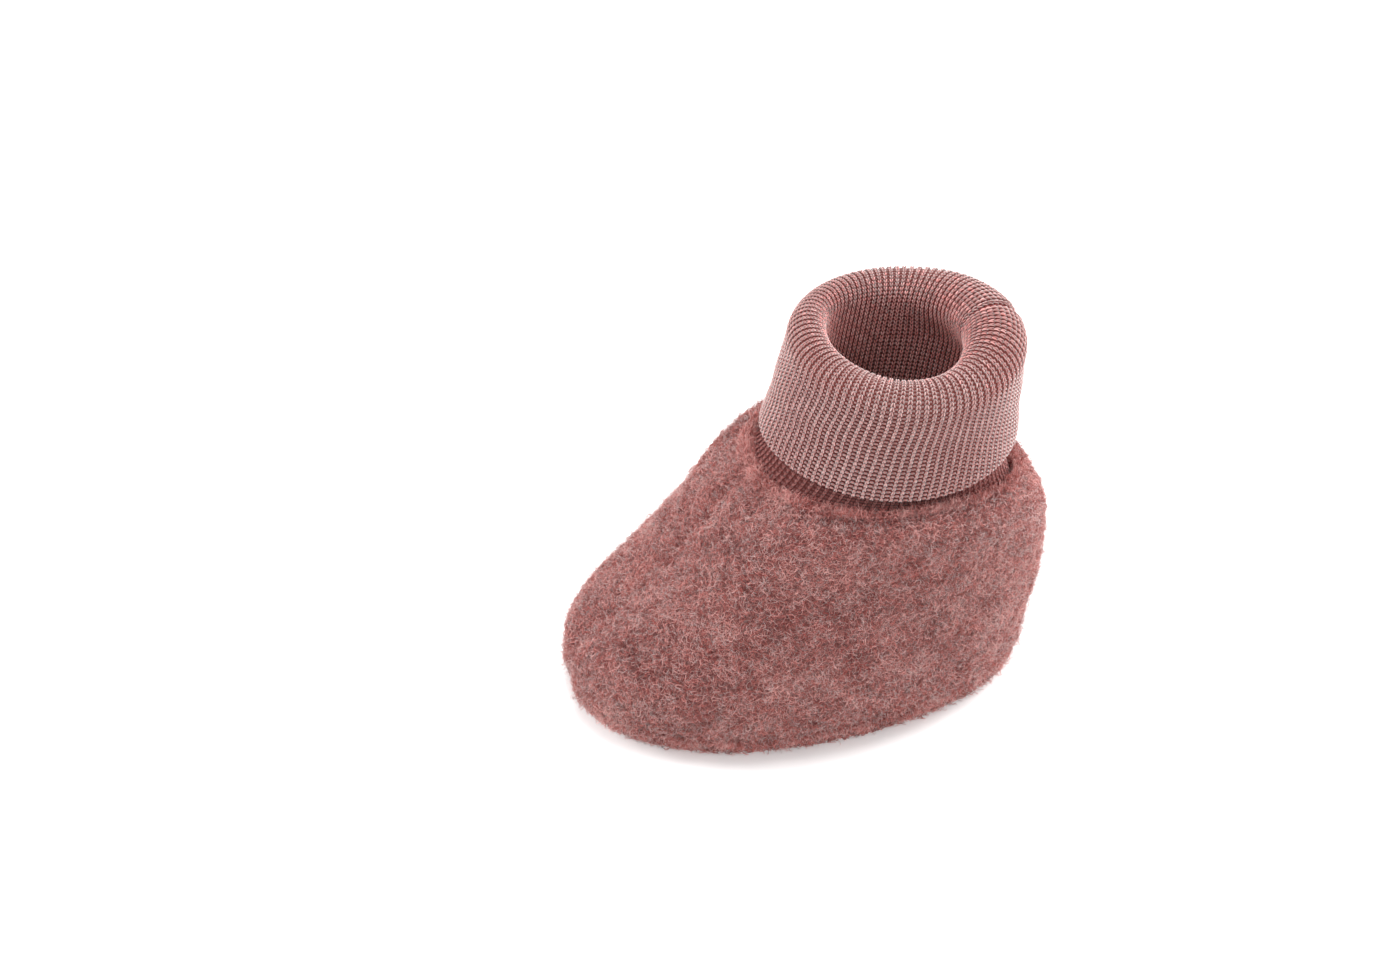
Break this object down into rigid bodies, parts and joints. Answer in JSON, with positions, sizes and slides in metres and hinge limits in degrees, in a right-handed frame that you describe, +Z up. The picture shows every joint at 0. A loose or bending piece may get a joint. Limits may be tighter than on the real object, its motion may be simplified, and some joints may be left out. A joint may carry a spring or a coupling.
{
  "type": "baby bootie",
  "caption": "Soft baby bootie in wool fleece with a rib-knit neck folded down as a cuff; the cuff pulls up along the ankle.",
  "frame": {"origin": "middle of the bounding box, on the ground under the sole", "axes": "+Z up, toe towards -Y, heel towards +Y, the wearer's left side towards +X"},
  "size_m": [0.0626, 0.101, 0.0822],
  "materials": {
    "wool_fleece": "brushed wool fleece, matted, dusty rose",
    "rib_knit": "fine 1x1 rib knit, matt, dusty rose",
    "sewing_thread": "spun sewing thread, matt, dark rose"
  },
  "bodies": {
    "foot": {"sole": "wool_fleece", "left_side_panel": "wool_fleece", "right_side_panel": "wool_fleece", "ankle_rib": "rib_knit", "front_seam_thread": "sewing_thread", "back_seam_thread": "sewing_thread", "sole_seam_thread": "sewing_thread", "ankle_seam_thread": "sewing_thread"},
    "cuff": {"cuff_turnover": "rib_knit"}
  },
  "joints": [
    {"name": "cuff_slide", "type": "slide", "parent": "foot", "child": "cuff", "axis": [0, 0.153, 0.9882], "range_m": [0, 0.02]}
  ]
}
